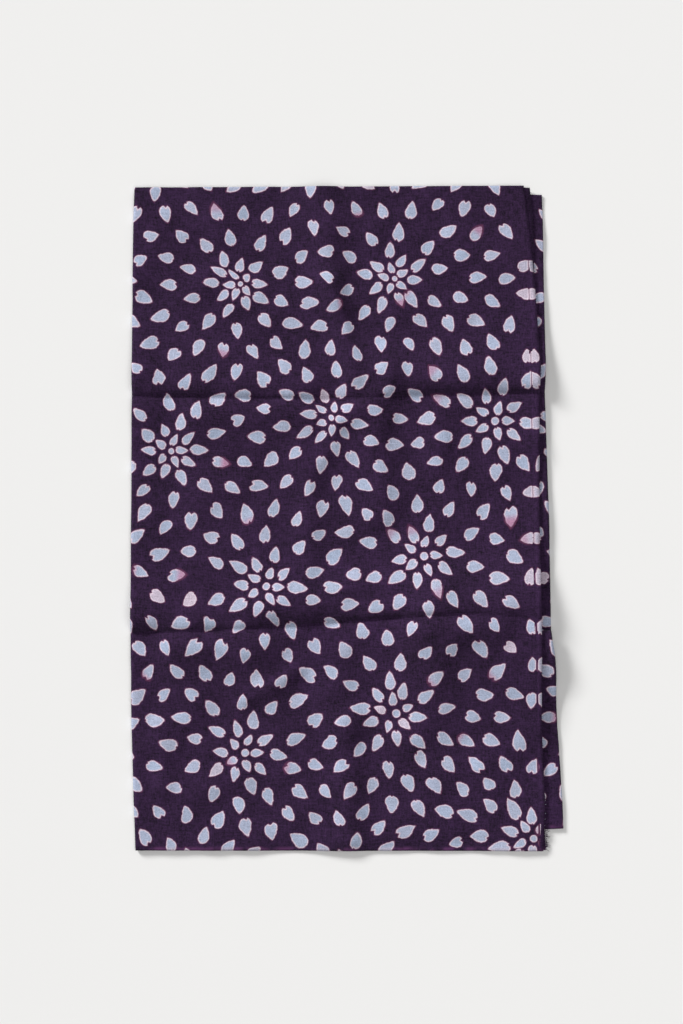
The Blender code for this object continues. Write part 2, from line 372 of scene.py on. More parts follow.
def run_of_cloth(shares, mixes, low, high, left_line, right_line, side):
    """Points of a layer, or of a fold between two, as stations by rows: (right, down, height).

    shares run from the left folds at 0 to the right side at 1, and mixes from the low layer at 0
    to the high one at 1. side is -1 for a fold that bulges to the left, 1 to the right, 0 for none.
    """
    share = np.array(shares)[:, None]
    mix = np.array(mixes)[:, None]
    row = np.array(rows)[None, :]
    upper, lower = (a + (b - a) * share for a, b in zip(CROSS_LINES[left_line], CROSS_LINES[right_line]))
    flat_down = eased(row, upper, lower)
    left = outline("left", flat_down)
    left = left + half_gap(0, TOP_LEVEL, left, flat_down) + CLOTH_THICK / 2
    right_end = outline(right_line, flat_down)
    if right_line == "right":
        right_end = right_end - half_gap(0, 1, right_end, flat_down) - CLOTH_THICK / 2
    right = left + (right_end - left) * share
    lower_pair = (low + (high - low) * mix <= PLEATED_TO) | (high < UPPER_PAIR)
    down, up, angle = (
        np.where(lower_pair, inside, over)
        for inside, over in zip(in_pleat(share, upper, lower, row), over_pleat(share, upper, lower, row))
    )
    heights = layer_heights(right, down)
    height = heights[low] + (heights[high] - heights[low]) * mix
    bulge = (heights[high] - heights[low]) * np.sqrt(mix * (1.0 - mix))
    pivot = np.where(lower_pair, (heights[0] + heights[1]) / 2, height)
    aside = height - pivot
    return right + side * bulge, down - aside * np.sin(angle), pivot + up + aside * np.cos(angle)


def laid_in_steps(spans):
    places = [spans[0][0]]
    for start, end, steps in spans:
        places += [start + (end - start) * (step + 1) / steps for step in range(steps)]
    return places


rows = laid_in_steps(ROW_SPANS)
runs = []
for index, (level, left_line, right_line, columns) in enumerate(LAYERS):
    to_left = index % 2 == 0
    shares = [column / columns for column in range(columns + 1)]
    shares = shares[::-1] if to_left else shares
    runs.append(run_of_cloth(shares, [0.0] * len(shares), level, level, left_line, right_line, 0))
    if index + 1 == len(LAYERS):
        break
    next_level = LAYERS[index + 1][0]
    low, high = sorted((level, next_level))
    steps = OUTER_FOLD_STEPS if high - low > 1 else NARROW_FOLD_STEPS
    mixes = [(1.0 + math.cos(math.pi * step / steps)) / 2 for step in range(1, steps)]
    mixes = mixes if level == high else mixes[::-1]
    shares = [0.0 if to_left else 1.0] * len(mixes)
    side = -1 if to_left else 1
    runs.append(run_of_cloth(shares, mixes, low, high, left_line, right_line, side))
right, down, height = (np.concatenate([run[axis] for run in runs]) for axis in range(3))
stations = len(right)
height = height - height.min() + CLOTH_THICK / 2

middle_right = (right.min() + right.max()) / 2
middle_down = (down.min() + down.max()) / 2
places = np.stack([right - middle_right, middle_down - down, height], axis=-1) * MM

bm = bmesh.new()
bmesh.ops.create_grid(bm, x_segments=stations - 1, y_segments=len(rows) - 1, size=1.0)
ordered = np.empty((stations, len(rows)), int)
for vert in bm.verts:
    column = round((vert.co.x + 1.0) / 2.0 * (stations - 1))
    row = round((vert.co.y + 1.0) / 2.0 * (len(rows) - 1))
    ordered[column, row] = vert.index
    vert.co = places[column, row]
bmesh.ops.recalc_face_normals(bm, faces=bm.faces)
mesh = bpy.data.meshes.new("towel_sheet")
bm.to_mesh(mesh)
bm.free()
sheet = bpy.data.objects.new("towel_sheet", mesh)
bpy.context.scene.collection.objects.link(sheet)
thickness = sheet.modifiers.new("thickness", "SOLIDIFY")
thickness.thickness = CLOTH_THICK * MM
thickness.offset = 0.0
thickness.use_rim = True
bpy.context.view_layer.update()
graph = bpy.context.evaluated_depsgraph_get()
cloth_mesh = bpy.data.meshes.new_from_object(sheet.evaluated_get(graph))
bpy.data.objects.remove(sheet, do_unlink=True)
cloth_mesh.name = "folded_cloth"
cloth = bpy.data.objects.new("folded_cloth", cloth_mesh)
bpy.context.scene.collection.objects.link(cloth)
cloth_mesh.shade_smooth()

# THE STENCILLED PATTERN
# Petals left undyed in a purple ground: rings of them round small dots, and loose ones between,
# each with its tip away from the nearest dot. They are laid out by rule on the flat cloth.
# Along is measured from a line near the first cut end, where the stencil turns over.
PATTERN_SEED = 36
# How far to the right that line lies at the upper and at the lower selvedge
TURNOVER_RIGHT = (214.7, 221.5)
ROSETTES = (
    # along, down, spread, size
    (73.5, 50.4, 0.05, 1.0),
    (160.9, 53.1, 0.0, 1.0),
    (20.8, 127.4, 0.9, 1.0),
    (111.3, 125.8, 0.3, 1.0),
    (197.9, 143.7, 0.25, 1.0),
    (60.7, 200.6, 0.9, 1.0),
    (147.2, 216.9, 0.7, 1.0),
    (77.5, 285.7, 1.0, 1.0),
    (161.1, 307.1, 0.8, 1.0),
    (3.9, 353.5, 0.75, 1.1),
)
ROSETTE_STEP = 88.0
ROSETTE_ROWS = (
    # first along, down, drift
    (30.0, -27.0, 6.0),
    (248.0, 52.0, 7.0),
    (286.0, 130.0, 7.0),
    (235.0, 208.0, 7.0),
    (250.0, 296.0, 7.0),
    (98.0, 384.0, 5.0),
)
# Each ring at its tightest and at its widest; the turn share is of the first ring's step
RINGS = (
    # petals, distance, widest distance, half width, widest half width, stretch, turn share
    (5, 5.8, 8.0, 2.05, 2.35, 1.08, 0.0),
    (5, 11.3, 13.6, 2.50, 2.75, 1.16, 0.5),
    (5, 15.3, 19.2, 2.85, 3.15, 1.16, 0.0),
    (10, 25.8, 29.5, 3.05, 3.25, 1.06, 0.25),
)
RING_TURN_DRIFT = 0.05
RING_DISTANCES = (0.95, 1.05)
RING_SIZES = (0.93, 1.07)
RING_STRETCHES = (0.94, 1.10)
RING_LEAN = 0.22
# The bluntness that makes a round dot
ROUND = 9.0
DOT_HALF = (1.45, 2.30)
LOOSE_STEP = 14.4
LOOSE_ROW = 0.87
LOOSE_SPACING = 16.2
LOOSE_CLEAR = 7.5
LOOSE_HALF = (3.10, 3.50)
LOOSE_ROUNDS = 24
LOOSE_PUSH = 4.5
LOOSE_FROM_LINE = 0.6
LOOSE_SHIFT = 3.0
LOOSE_TURN_DRIFT = 0.16
LOOSE_SIZES = (0.88, 1.12)
LOOSE_STRETCHES = (0.90, 1.16)
LOOSE_LEAN = 0.25
# How far the loose petals go on past the cloth's length and width
PAST_LENGTH = 80.0
PAST_WIDTH = 60.0
NOTCH_PLACE = 0.34
NOTCH_APEX = (-0.76, -0.40)
RING_NOTCH_APEX = (-0.80, -0.56)
# The apex of a notch that stays outside its petal
NO_NOTCH = -9.0
NO_NOTCH_SHARE = 0.12
BLUNTNESS = (0.02, 0.26)
PETAL_ROOT = 0.4
NEAREST_PETALS = 3
# Added to a place counted in a petal's half widths, this is far outside the petal
FAR_OFF = 99.0
LILAC_SHARE = 0.025
LILAC_TINTS = (0.5, 0.9)
OTHER_TINTS = (0.0, 0.18)
BLED_SHARE = 0.055
BLED_AMOUNTS = (0.6, 1.0)
# Past the turnover line, petals show only above this. Pairs of them stand close to the line.
MIRRORED_ABOVE = 300.0
PAIR_STEP = 24.5
PAIR_FIRST = 38.0
PAIR_AWAY = (1.6, 4.4)
PAIR_CLEAR = 7.0
PAIR_SETS = 11
PAIR_APART = 9.0
PAIR_SHIFT = 0.25
PAIR_HEADINGS = (0.0, 0.5, 1.0, 1.5)
PAIR_TURN_DRIFT = 0.3
PAIR_STRETCHES = (0.90, 1.10)
# These are more or less lilac above a place down the cloth
PAIR_LILAC = (0.5, 1.0)
PAIR_LILAC_ABOVE = 235.0
# The pattern stops this short of the other cut end
END_BARE = 6.5

draw = np.random.default_rng(PATTERN_SEED)
centres = list(ROSETTES)
for first, row_down, drift in ROSETTE_ROWS:
    along = first
    while along < CLOTH_LENGTH + ROSETTE_STEP:
        moved = draw.uniform(-drift, drift, 2)
        centres.append((along + moved[0], row_down + moved[1], draw.random(), 1.0))
        along += ROSETTE_STEP
centres = np.array(centres)


def between(pair, share):
    return pair[0] + (pair[1] - pair[0]) * share


def petal_ends(apexes):
    """How one petal is cut at its two ends: (notch place, notch apex, bluntness of the tip)."""
    notch = draw.uniform(-NOTCH_PLACE, NOTCH_PLACE)
    apex = NO_NOTCH if draw.random() < NO_NOTCH_SHARE else draw.uniform(*apexes)
    return notch, apex, draw.uniform(*BLUNTNESS)


# Of each petal: along, down, heading, half width, stretch, lean, notch place, notch apex, bluntness
petals = []
ringed = []
outer_reach = []
for along, down, spread, size in centres:
    petals.append((along, down, 0.0, between(DOT_HALF, spread), 1.0, 0.0, 0.0, NO_NOTCH, ROUND))
    first_turn = draw.uniform(0.0, 2 * math.pi)
    for count, near, far, half, widest_half, stretch, turn_share in RINGS:
        for index in range(count):
            turn = first_turn + 2 * math.pi * (index / count + turn_share / RINGS[0][0])
            turn += draw.normal(0.0, RING_TURN_DRIFT)
            away = between((near, far), spread) * draw.uniform(*RING_DISTANCES)
            place = (along + away * math.cos(turn), down + away * math.sin(turn))
            ringed.append(place)
            petals.append(
                (
                    *place,
                    turn,
                    size * between((half, widest_half), spread) * draw.uniform(*RING_SIZES),
                    stretch * draw.uniform(*RING_STRETCHES),
                    draw.uniform(-RING_LEAN, RING_LEAN),
                    *petal_ends(RING_NOTCH_APEX),
                )
            )
    outer_reach.append(between(RINGS[-1][1:3], spread) + LOOSE_CLEAR)
ringed = np.array(ringed)

# A grid that starts outside the cloth's upper left corner, with every second row half a step on
loose = []
for line in range(int((CLOTH_WIDTH + PAST_WIDTH) / (LOOSE_STEP * LOOSE_ROW))):
    for index in range(int((CLOTH_LENGTH + PAST_LENGTH) / LOOSE_STEP)):
        moved = draw.uniform(-LOOSE_SHIFT, LOOSE_SHIFT, 2)
        loose.append(
            (
                LOOSE_STEP * (index + 0.5 * (line % 2) - 1.0) + moved[0],
                LOOSE_STEP * LOOSE_ROW * (line - 2) + moved[1],
            )
        )
loose = np.array(loose)
gap = np.linalg.norm(loose[:, None] - centres[None, :, :2], axis=-1) - np.array(outer_reach)
loose = loose[gap.min(axis=1) > 0.0]
for _ in range(LOOSE_ROUNDS):
    others = np.concatenate([loose, ringed])
    apart = loose[:, None] - others[None]
    distance = np.linalg.norm(apart, axis=-1)
    distance[distance == 0.0] = np.inf
    push = np.clip(1.0 - distance / LOOSE_SPACING, 0.0, None) / distance
    loose = loose + LOOSE_PUSH * (apart * push[..., None]).sum(axis=1)
for place in loose:
    # None stands across the turnover line, or near it where the petals past it show
    if -LOOSE_STEP / 2 < place[0] < LOOSE_FROM_LINE:
        continue
    if abs(place[0]) < PAIR_CLEAR and place[1] < MIRRORED_ABOVE:
        continue
    gaps = place - centres[:, :2]
    nearest = gaps[np.argmin(np.linalg.norm(gaps, axis=1))]
    turn = math.atan2(nearest[1], nearest[0]) + draw.normal(0.0, LOOSE_TURN_DRIFT)
    petals.append(
        (
            *place,
            turn,
            between(LOOSE_HALF, place[1] / CLOTH_WIDTH) * draw.uniform(*LOOSE_SIZES),
            draw.uniform(*LOOSE_STRETCHES),
            draw.uniform(-LOOSE_LEAN, LOOSE_LEAN),
            *petal_ends(NOTCH_APEX),
        )
    )
paired = []
for index in range(PAIR_SETS):
    away = draw.uniform(*PAIR_AWAY)
    place = (away, PAIR_FIRST + PAIR_STEP * (index + draw.uniform(-PAIR_SHIFT, PAIR_SHIFT)))
    heading = draw.choice(PAIR_HEADINGS) * math.pi + draw.normal(0.0, PAIR_TURN_DRIFT)
    if np.linalg.norm(ringed - place, axis=1).min() < PAIR_APART:
        continue
    paired.append(len(petals))
    stretch = draw.uniform(*PAIR_STRETCHES)
    petals.append((*place, heading, LOOSE_HALF[0], stretch, 0.0, *petal_ends(NOTCH_APEX)))
petals = np.array(petals)

# Each petal's own dye: most came out pale blue, some lilac, and a few have purple bled into them
tints = np.where(draw.random(len(petals)) < LILAC_SHARE, draw.uniform(*LILAC_TINTS, len(petals)), 0.0)
tints = np.maximum(tints, draw.uniform(*OTHER_TINTS, len(petals)))
lilac_pairs = [index for index in paired if petals[index, 1] < PAIR_LILAC_ABOVE]
tints[lilac_pairs] = draw.uniform(*PAIR_LILAC, len(lilac_pairs))
stains = np.where(draw.random(len(petals)) < BLED_SHARE, draw.uniform(*BLED_AMOUNTS, len(petals)), 0.0)
stains *= draw.choice((-1.0, 1.0), len(petals))

# Where each point of the cloth lies on the flat cloth
steps = np.linalg.norm(np.diff(places, axis=0), axis=-1) / MM
row_downs = np.array(rows)
turnover = np.interp(row_downs, (0.0, CLOTH_WIDTH), TURNOVER_RIGHT)
flat_along = np.concatenate([np.zeros((1, len(rows))), np.cumsum(steps, axis=0)])
flat_along += turnover - outline("end_a", row_downs)
flat_down = np.broadcast_to(row_downs, flat_along.shape)
flat = np.empty((stations * len(rows), 2))
flat[ordered.ravel()] = np.stack([flat_along, flat_down], axis=-1).reshape(-1, 2)

vert_count = stations * len(rows)
face_count = (stations - 1) * (len(rows) - 1)
corner_vert = np.empty(len(cloth_mesh.loops), np.int32)
cloth_mesh.loops.foreach_get("vertex_index", corner_vert)
assert len(corner_vert) == 4 * len(cloth_mesh.polygons)
corner_face = np.arange(len(corner_vert)) // 4
corner_flat = flat[corner_vert % vert_count]
face_flat = corner_flat.reshape(-1, 4, 2).mean(axis=1)

# The stencil is turned over past its line, so the petals there mirror those on this side of it
side = np.where(face_flat[:, 0] < 0.0, -1.0, 1.0)
bare = (side < 0.0) & (face_flat[:, 1] > MIRRORED_ABOVE)
end_along = np.interp(face_flat[:, 1], row_downs, flat_along[-1])
bare |= face_flat[:, 0] > end_along - END_BARE
tree = kdtree.KDTree(len(petals))
for index, petal in enumerate(petals):
    tree.insert((petal[0], petal[1], 0.0), index)
tree.balance()
nearest = np.array(
    [
        [found[1] for found in tree.find_n((abs(x), y, 0.0), NEAREST_PETALS)]
        for x, y in face_flat.tolist()
    ]
)
heading = np.stack([np.cos(petals[:, 2]), np.sin(petals[:, 2])], axis=-1)
roots = petals[:, :2] - heading * (PETAL_ROOT * petals[:, 3] * petals[:, 4])[:, None]
corner_mirrored = corner_flat * np.stack([side, np.ones(len(side))], axis=-1)[corner_face]
for slot in range(NEAREST_PETALS):
    petal = nearest[corner_face, slot]
    offset = corner_mirrored - roots[petal]
    along = (offset * heading[petal]).sum(axis=1)
    across = offset[:, 1] * heading[petal, 0] - offset[:, 0] * heading[petal, 1]
    half = petals[petal, 3]
    along_units = along / (half * petals[petal, 4]) + FAR_OFF * bare[corner_face]
    across_units = across / half - petals[petal, 5] * along_units
    spot = np.stack([along_units, across_units, half], axis=-1)
    dye = np.stack([tints[petal], stains[petal], np.zeros(len(petal))], axis=-1)
    for name, values in (("spot", spot), ("dye", dye), ("ends", petals[petal, 6:9])):
        layer = cloth_mesh.attributes.new("petal_%s_%d" % (name, slot), "FLOAT_VECTOR", "CORNER")
        layer.data.foreach_set("vector", values.astype(np.float32).ravel())

# Two maps of the flat cloth: one in metres for the weave, one that shares out a square between its
# two halves. In the second the thin faces of the cloth's edge lie just outside its outline.
weave_map = cloth_mesh.uv_layers.new(name="flat_cloth")
weave_map.data.foreach_set("uv", (corner_flat * MM).astype(np.float32).ravel())
MAP_MARGIN = 8.0
RAW_EDGE = 0.7
SEAM_PAST_MIDDLE = 4.0
NO_SPAN = 1e-6
half_length = CLOTH_LENGTH / 2 + SEAM_PAST_MIDDLE
span = np.ptp(corner_flat.reshape(-1, 4, 2), axis=1)
selvedge = (span[:, 1] < NO_SPAN)[corner_face]
outwards = np.sign(corner_flat - (CLOTH_LENGTH / 2, CLOTH_WIDTH / 2))
outwards *= np.stack([~selvedge, selvedge], axis=-1)
raw = ((corner_face >= 2 * face_count) & (corner_vert >= vert_count))[:, None]
map_flat = corner_flat + RAW_EDGE * outwards * raw
panel = (face_flat[:, 0] > half_length)[corner_face]
sheet_map = np.stack(
    [
        (map_flat[:, 0] + MAP_MARGIN - panel * half_length) / (half_length + 3 * MAP_MARGIN),
        (map_flat[:, 1] + MAP_MARGIN / 2) / (CLOTH_WIDTH + MAP_MARGIN) / 2.0 + panel * 0.5,
    ],
    axis=-1,
)
bake_map = cloth_mesh.uv_layers.new(name="OFBake")
bake_map.data.foreach_set("uv", sheet_map.astype(np.float32).ravel())

# THE DYED COTTON
# Thin plain weave of fine yarn, purple right through. The petals are a mottled pale blue inside a
# whiter, pinkish edge where the paste held the dye back, with a thin blush of dye round them.
GROUND = (0.0257, 0.0103, 0.0363)
PETAL_BLUE = (0.355, 0.412, 0.550)
PETAL_LILAC = (0.520, 0.420, 0.500)
PETAL_EDGE = (0.630, 0.515, 0.600)
FRINGE = (0.210, 0.055, 0.125)
BLED = (0.420, 0.215, 0.335)
SELVEDGE_DYE = (0.095, 0.030, 0.100)
# How uneven the dye is: scales count patches in a metre, and the rest are shares of a shade
PATCH_SCALES = (30.0, 95.0)
PATCHES = 0.65
SPECKLE_SCALE = 1300.0
GRAIN = 1.6
MOTTLE_SCALE = 1500.0
MOTTLE = 0.9
GRAIN_IN_PETALS = 0.25
FRINGE_SHARE = 0.55
PALER_GROUND = 0.22
WHITER_PETALS = 0.5
# Metres down the cloth, and the range of a noise that leaves patches
SELVEDGE_BAND = (0.3574, 0.3594)
SELVEDGE_SCALE = 160.0
SELVEDGE_PATCHES = (0.38, 0.66)
# Millimetres to each side of the turnover line, with the metres down where the parting widens
PARTING_HALF = 0.50
PARTING_NARROWER = 0.38
PARTING_WIDENS = (0.20, 0.24)
TURNED_OVER = (-0.6, 0.4)
# How far the outlines of the petals waver, in half widths
WOBBLE = 0.30
WOBBLE_SCALE = 420.0


def node(tree, kind, *values, **settings):
    """A new node with its settings, and its inputs in order: sockets are linked, None is left as it is."""
    made = tree.nodes.new(kind)
    for name, value in settings.items():
        setattr(made, name, value)
    for socket, value in zip(made.inputs, values):
        if isinstance(value, bpy.types.NodeSocket):
            tree.links.new(value, socket)
        elif value is not None:
            socket.default_value = value
    return made


def maths(tree, operation, *values):
    return node(tree, "ShaderNodeMath", *values, operation=operation).outputs[0]


def softly(tree, value, low, high):
    """1 at or below low, 0 at or above high, with a soft change between."""
    made = node(
        tree, "ShaderNodeMapRange", value, low, high, 1.0, 0.0, interpolation_type="SMOOTHSTEP"
    )
    return made.outputs[0]


def blended(tree, amount, first, second):
    made = tree.nodes.new("ShaderNodeMix")
    made.data_type = "RGBA"
    made.blend_type = "MIX"
    for socket, value in ((made.inputs[0], amount), (made.inputs[6], first), (made.inputs[7], second)):
        if isinstance(value, bpy.types.NodeSocket):
            tree.links.new(value, socket)
        else:
            socket.default_value = value if isinstance(value, float) else (*value, 1.0)
    return made.outputs[2]


def scaled(tree, colour, amount):
    return node(tree, "ShaderNodeVectorMath", colour, None, None, amount, operation="SCALE").outputs[0]


def noise_at(tree, place, scale, detail=2.0):
    return node(tree, "ShaderNodeTexNoise", place, None, scale, detail).outputs[0]


PETAL_OUTPUTS = ("Cover", "Edge", "Fringe", "Lilac", "Bled")
PETAL_TIP = 1.88
PETAL_SIDE = 3.6
NOTCH_BACK = 0.64
NOTCH_FLARE = 0.77
NOTCH_ROUND = 0.10
# Soft steps by the millimetres that a place lies outside the petal's outline
COVER_EDGE = (-0.22, 0.10)
PASTE_EDGE = (-0.90, -0.32)
FRINGE_EDGE = (0.12, 0.52)
BLUSH_EDGE = (0.1, 1.4)
# Where along a petal, in half widths, bled dye starts and is full
BLED_ALONG = (-0.1, 1.1)


def petal_group():
    """How far a point lies inside one petal: a round end, two curved sides to a tip, and a notch.

    Spot is in the petal's half widths, with the half width itself in millimetres as its third
    value. Ends holds the notch's place and apex and the bluntness of the tip. Parting is how
    far, in millimetres, a place lies inside a line that the petals leave bare.
    """
    tree = bpy.data.node_groups.new("petal", "ShaderNodeTree")
    for name in ("Spot", "Dye", "Ends"):
        tree.interface.new_socket(name, in_out="INPUT", socket_type="NodeSocketVector")
    tree.interface.new_socket("Parting", in_out="INPUT", socket_type="NodeSocketFloat")
    for name in PETAL_OUTPUTS:
        tree.interface.new_socket(name, in_out="OUTPUT", socket_type="NodeSocketFloat")
    given = tree.nodes.new("NodeGroupInput").outputs
    put = tree.nodes.new("NodeGroupOutput").inputs
    along, across, half = node(tree, "ShaderNodeSeparateXYZ", given["Spot"]).outputs
    lilac, bled, _ = node(tree, "ShaderNodeSeparateXYZ", given["Dye"]).outputs
    notch, apex, blunt = node(tree, "ShaderNodeSeparateXYZ", given["Ends"]).outputs
    pointed = maths(tree, "LESS_THAN", blunt, 1.0)

    def length(x, y):
        spot = node(tree, "ShaderNodeCombineXYZ", x, y).outputs[0]
        return node(tree, "ShaderNodeVectorMath", spot, operation="LENGTH").outputs["Value"]

    # The sides are arcs tangent to the round end. A blunt tip is the same arcs, softly met.
    beside = maths(tree, "SUBTRACT", length(across, blunt), length(blunt, 1.0))
    beside = maths(tree, "ADD", beside, 1.0)
    round_gap = maths(tree, "SUBTRACT", length(along, across), 1.0)
    side_along = ((PETAL_TIP**2 + 1.0) / 2.0 - PETAL_SIDE) / PETAL_TIP
    side_across = -math.sqrt((PETAL_SIDE - 1.0) ** 2 - side_along**2)
    side_gap = length(
        maths(tree, "SUBTRACT", along, side_along), maths(tree, "SUBTRACT", beside, side_across)
    )
    side_gap = maths(tree, "SUBTRACT", side_gap, PETAL_SIDE)
    past_round = maths(
        tree,
        "GREATER_THAN",
        maths(tree, "MULTIPLY", along, -side_across),
        maths(tree, "MULTIPLY", beside, -side_along),
    )
    on_side = maths(tree, "MULTIPLY", past_round, pointed)
    gap = node(tree, "ShaderNodeMix", on_side, None, round_gap, side_gap).outputs[0]
    notch_back = maths(tree, "MULTIPLY", maths(tree, "SUBTRACT", apex, along), NOTCH_BACK)
    notch_side = length(maths(tree, "SUBTRACT", across, notch), NOTCH_ROUND)
    notch_side = maths(tree, "MULTIPLY", notch_side, NOTCH_FLARE)
    notch_gap = maths(tree, "SUBTRACT", notch_back, notch_side)
    gap = maths(tree, "MULTIPLY", maths(tree, "MAXIMUM", gap, notch_gap), half)
    gap = maths(tree, "MAXIMUM", gap, given["Parting"])
    cover = softly(tree, gap, *COVER_EDGE)
    inner = softly(tree, gap, *PASTE_EDGE)
    bled_side = maths(tree, "MULTIPLY", along, maths(tree, "SIGN", bled))
    bled_share = maths(tree, "SUBTRACT", 1.0, softly(tree, bled_side, *BLED_ALONG))
    bled_share = maths(tree, "MULTIPLY", bled_share, maths(tree, "ABSOLUTE", bled))
    blush = maths(tree, "MULTIPLY", bled_share, softly(tree, gap, *BLUSH_EDGE))
    fringe = maths(tree, "MAXIMUM", softly(tree, gap, *FRINGE_EDGE), blush)
    tree.links.new(cover, put["Cover"])
    tree.links.new(maths(tree, "SUBTRACT", cover, inner), put["Edge"])
    tree.links.new(maths(tree, "SUBTRACT", fringe, cover), put["Fringe"])
    tree.links.new(maths(tree, "MULTIPLY", cover, lilac), put["Lilac"])
    tree.links.new(maths(tree, "MULTIPLY", cover, bled_share), put["Bled"])
    return tree


YARN_PITCH = 0.00044
YARN_ROUNDNESS = 0.5
# How often the yarn's thickness changes in a metre, across the yarns and along them
SLUBS_ACROSS = 1000.0
SLUBS_ALONG = 260.0


def weave_group():
    """Plain weave from a map in metres: the height of the yarns, and a shade for their unevenness."""
    tree = bpy.data.node_groups.new("plain_weave", "ShaderNodeTree")
    tree.interface.new_socket("Flat", in_out="INPUT", socket_type="NodeSocketVector")
    for name in ("Height", "Shade"):
        tree.interface.new_socket(name, in_out="OUTPUT", socket_type="NodeSocketFloat")
    given = tree.nodes.new("NodeGroupInput").outputs
    put = tree.nodes.new("NodeGroupOutput").inputs
    along, down, _ = node(tree, "ShaderNodeSeparateXYZ", given["Flat"]).outputs
    turns = math.pi / YARN_PITCH
    warp = maths(tree, "SINE", maths(tree, "MULTIPLY", along, turns))
    weft = maths(tree, "SINE", maths(tree, "MULTIPLY", down, turns))
    over = maths(tree, "MULTIPLY", warp, weft)
    slubs = []
    for stretch in ((SLUBS_ACROSS, SLUBS_ALONG, 1.0), (SLUBS_ALONG, SLUBS_ACROSS, 1.0)):
        stretched = node(tree, "ShaderNodeMapping", given["Flat"], None, None, stretch).outputs[0]
        slubs.append(noise_at(tree, stretched, 1.0))
    uneven_yarn = maths(tree, "ADD", *slubs)
    yarn_height = maths(tree, "MULTIPLY", over, YARN_ROUNDNESS)
    tree.links.new(maths(tree, "ADD", yarn_height, uneven_yarn), put["Height"])
    tree.links.new(maths(tree, "SUBTRACT", uneven_yarn, 1.0), put["Shade"])
    return tree


cotton = bpy.data.materials.new("dyed_cotton")
cotton.use_nodes = True
tree = cotton.node_tree
shader = tree.nodes["Principled BSDF"]
flat_node = tree.nodes.new("ShaderNodeUVMap")
flat_node.uv_map = "flat_cloth"
flat_place = flat_node.outputs[0]
along, down, _ = node(tree, "ShaderNodeSeparateXYZ", flat_place).outputs

# Petals part at the turnover line, more towards the lower selvedge, and past it they came out
# whiter and the ground a little paler
along_mm = maths(tree, "MULTIPLY", along, 1.0 / MM)
narrower = maths(tree, "MULTIPLY", softly(tree, down, *PARTING_WIDENS), PARTING_NARROWER)
parting_half = maths(tree, "SUBTRACT", PARTING_HALF, narrower)
parting = maths(tree, "SUBTRACT", parting_half, maths(tree, "ABSOLUTE", along_mm))
turned_over = softly(tree, along_mm, *TURNED_OVER)
# The dye is patchy along the lower selvedge, where it soaked in under the paste
selvedge_band = maths(tree, "SUBTRACT", 1.0, softly(tree, down, *SELVEDGE_BAND))
selvedge_patch = noise_at(tree, flat_place, SELVEDGE_SCALE)
selvedge_patch = maths(tree, "SUBTRACT", 1.0, softly(tree, selvedge_patch, *SELVEDGE_PATCHES))
selvedge_dye = maths(tree, "MULTIPLY", selvedge_band, selvedge_patch)

petal_tree = petal_group()
wobble = node(tree, "ShaderNodeTexNoise", flat_place, None, WOBBLE_SCALE, 1.0).outputs[1]
wobble = node(tree, "ShaderNodeVectorMath", wobble, (0.5, 0.5, 0.5), operation="SUBTRACT").outputs[0]
wobble_sizes = (WOBBLE, WOBBLE, 0.0)
wobble = node(tree, "ShaderNodeVectorMath", wobble, wobble_sizes, operation="MULTIPLY").outputs[0]
sums = {}
for slot in range(NEAREST_PETALS):
    spot, dye, ends = (
        node(tree, "ShaderNodeAttribute", attribute_name="petal_%s_%d" % (name, slot)).outputs["Vector"]
        for name in ("spot", "dye", "ends")
    )
    spot = node(tree, "ShaderNodeVectorMath", spot, wobble, operation="ADD").outputs[0]
    petal = tree.nodes.new("ShaderNodeGroup")
    petal.node_tree = petal_tree
    tree.links.new(spot, petal.inputs["Spot"])
    tree.links.new(dye, petal.inputs["Dye"])
    tree.links.new(ends, petal.inputs["Ends"])
    tree.links.new(parting, petal.inputs["Parting"])
    for name in PETAL_OUTPUTS:
        value = petal.outputs[name]
        sums[name] = maths(tree, "ADD", sums[name], value) if name in sums else value

weave = tree.nodes.new("ShaderNodeGroup")
weave.node_tree = weave_group()
tree.links.new(flat_place, weave.inputs["Flat"])

patchy = maths(tree, "ADD", *(noise_at(tree, flat_place, scale) for scale in PATCH_SCALES))
patchy = maths(tree, "MULTIPLY", maths(tree, "SUBTRACT", patchy, 1.0), PATCHES)
speckle = maths(tree, "SUBTRACT", noise_at(tree, flat_place, SPECKLE_SCALE, detail=1.0), 0.5)
grain = maths(tree, "MULTIPLY", maths(tree, "ADD", weave.outputs["Shade"], speckle), GRAIN)
ground_level = maths(tree, "ADD", maths(tree, "ADD", patchy, grain), 1.0)
ground_level = maths(tree, "ADD", ground_level, maths(tree, "MULTIPLY", turned_over, PALER_GROUND))
ground = scaled(tree, GROUND, ground_level)
ground = blended(tree, selvedge_dye, ground, SELVEDGE_DYE)
fringe = maths(tree, "MULTIPLY", maths(tree, "MINIMUM", sums["Fringe"], 1.0), FRINGE_SHARE)
ground = blended(tree, fringe, ground, FRINGE)

mottle = noise_at(tree, flat_place, MOTTLE_SCALE)
mottle = maths(tree, "MULTIPLY", maths(tree, "SUBTRACT", mottle, 0.5), MOTTLE)
petal_grain = maths(tree, "MULTIPLY", grain, GRAIN_IN_PETALS)
petal_level = maths(tree, "ADD", maths(tree, "ADD", mottle, petal_grain), 1.0)
whiter = maths(tree, "MULTIPLY", maths(tree, "MAXIMUM", turned_over, selvedge_band), WHITER_PETALS)
lilac = maths(tree, "MAXIMUM", sums["Lilac"], whiter)
petal_colour = blended(tree, lilac, PETAL_BLUE, PETAL_LILAC)
petal_colour = blended(tree, sums["Edge"], petal_colour, PETAL_EDGE)
petal_colour = blended(tree, sums["Bled"], petal_colour, BLED)
petal_colour = scaled(tree, petal_colour, petal_level)
colour = blended(tree, sums["Cover"], ground, petal_colour)
tree.links.new(colour, shader.inputs["Base Color"])
BUMP_STRENGTH = 0.35
BUMP_HEIGHT = 0.00012
